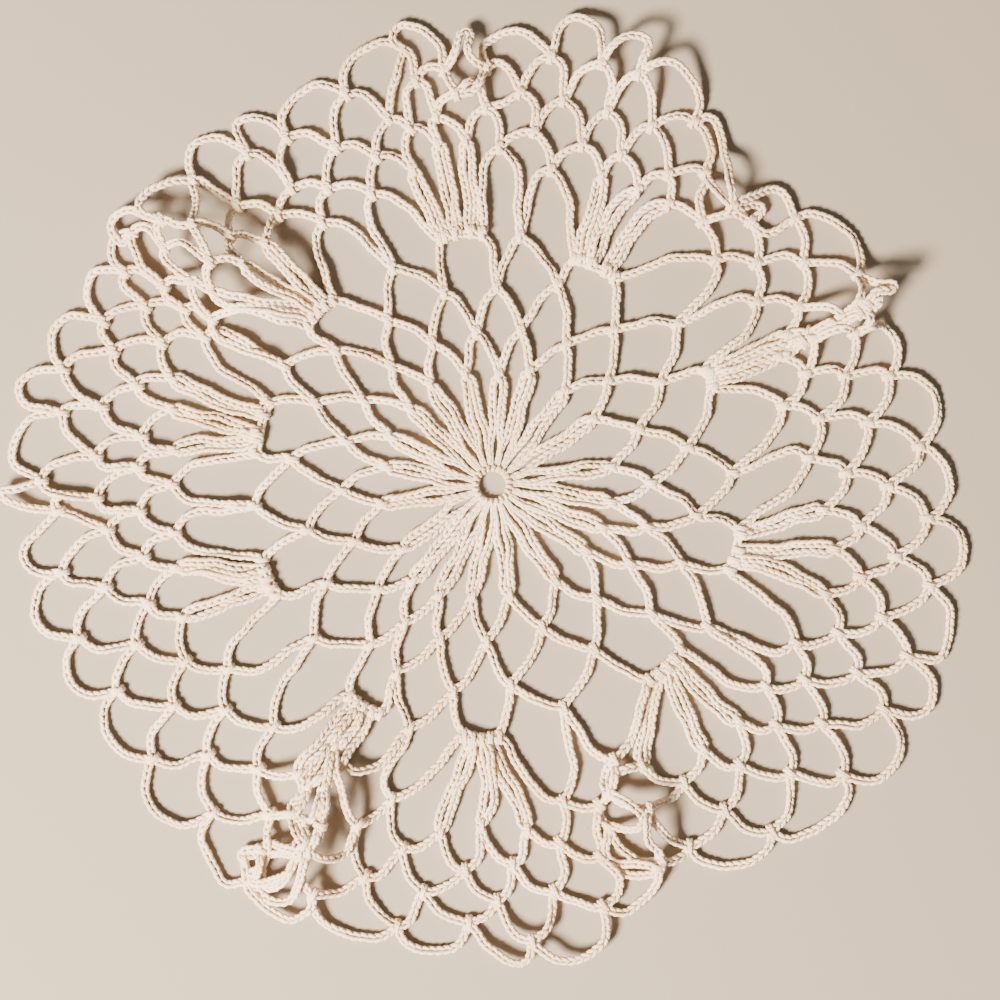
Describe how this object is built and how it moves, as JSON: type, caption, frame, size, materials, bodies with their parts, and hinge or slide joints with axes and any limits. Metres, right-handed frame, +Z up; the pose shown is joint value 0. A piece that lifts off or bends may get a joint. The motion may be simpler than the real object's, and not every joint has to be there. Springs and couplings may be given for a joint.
{
  "type": "lace doily",
  "caption": "Round openwork crocheted cotton doily with a scalloped edge, lying on a table with a few bunches pushed up in it.",
  "frame": {"origin": "middle of the doily's bounding box, on the surface it lies on", "axes": "+Z up from the table, +Y away from the viewer of the picture (its upper edge), +X to the viewer's right"},
  "size_m": [0.252, 0.2474, 0.0145],
  "materials": {
    "crochet_cotton": "matte"
  },
  "bodies": {
    "root": {"lace_doily": "crochet_cotton"}
  },
  "joints": []
}
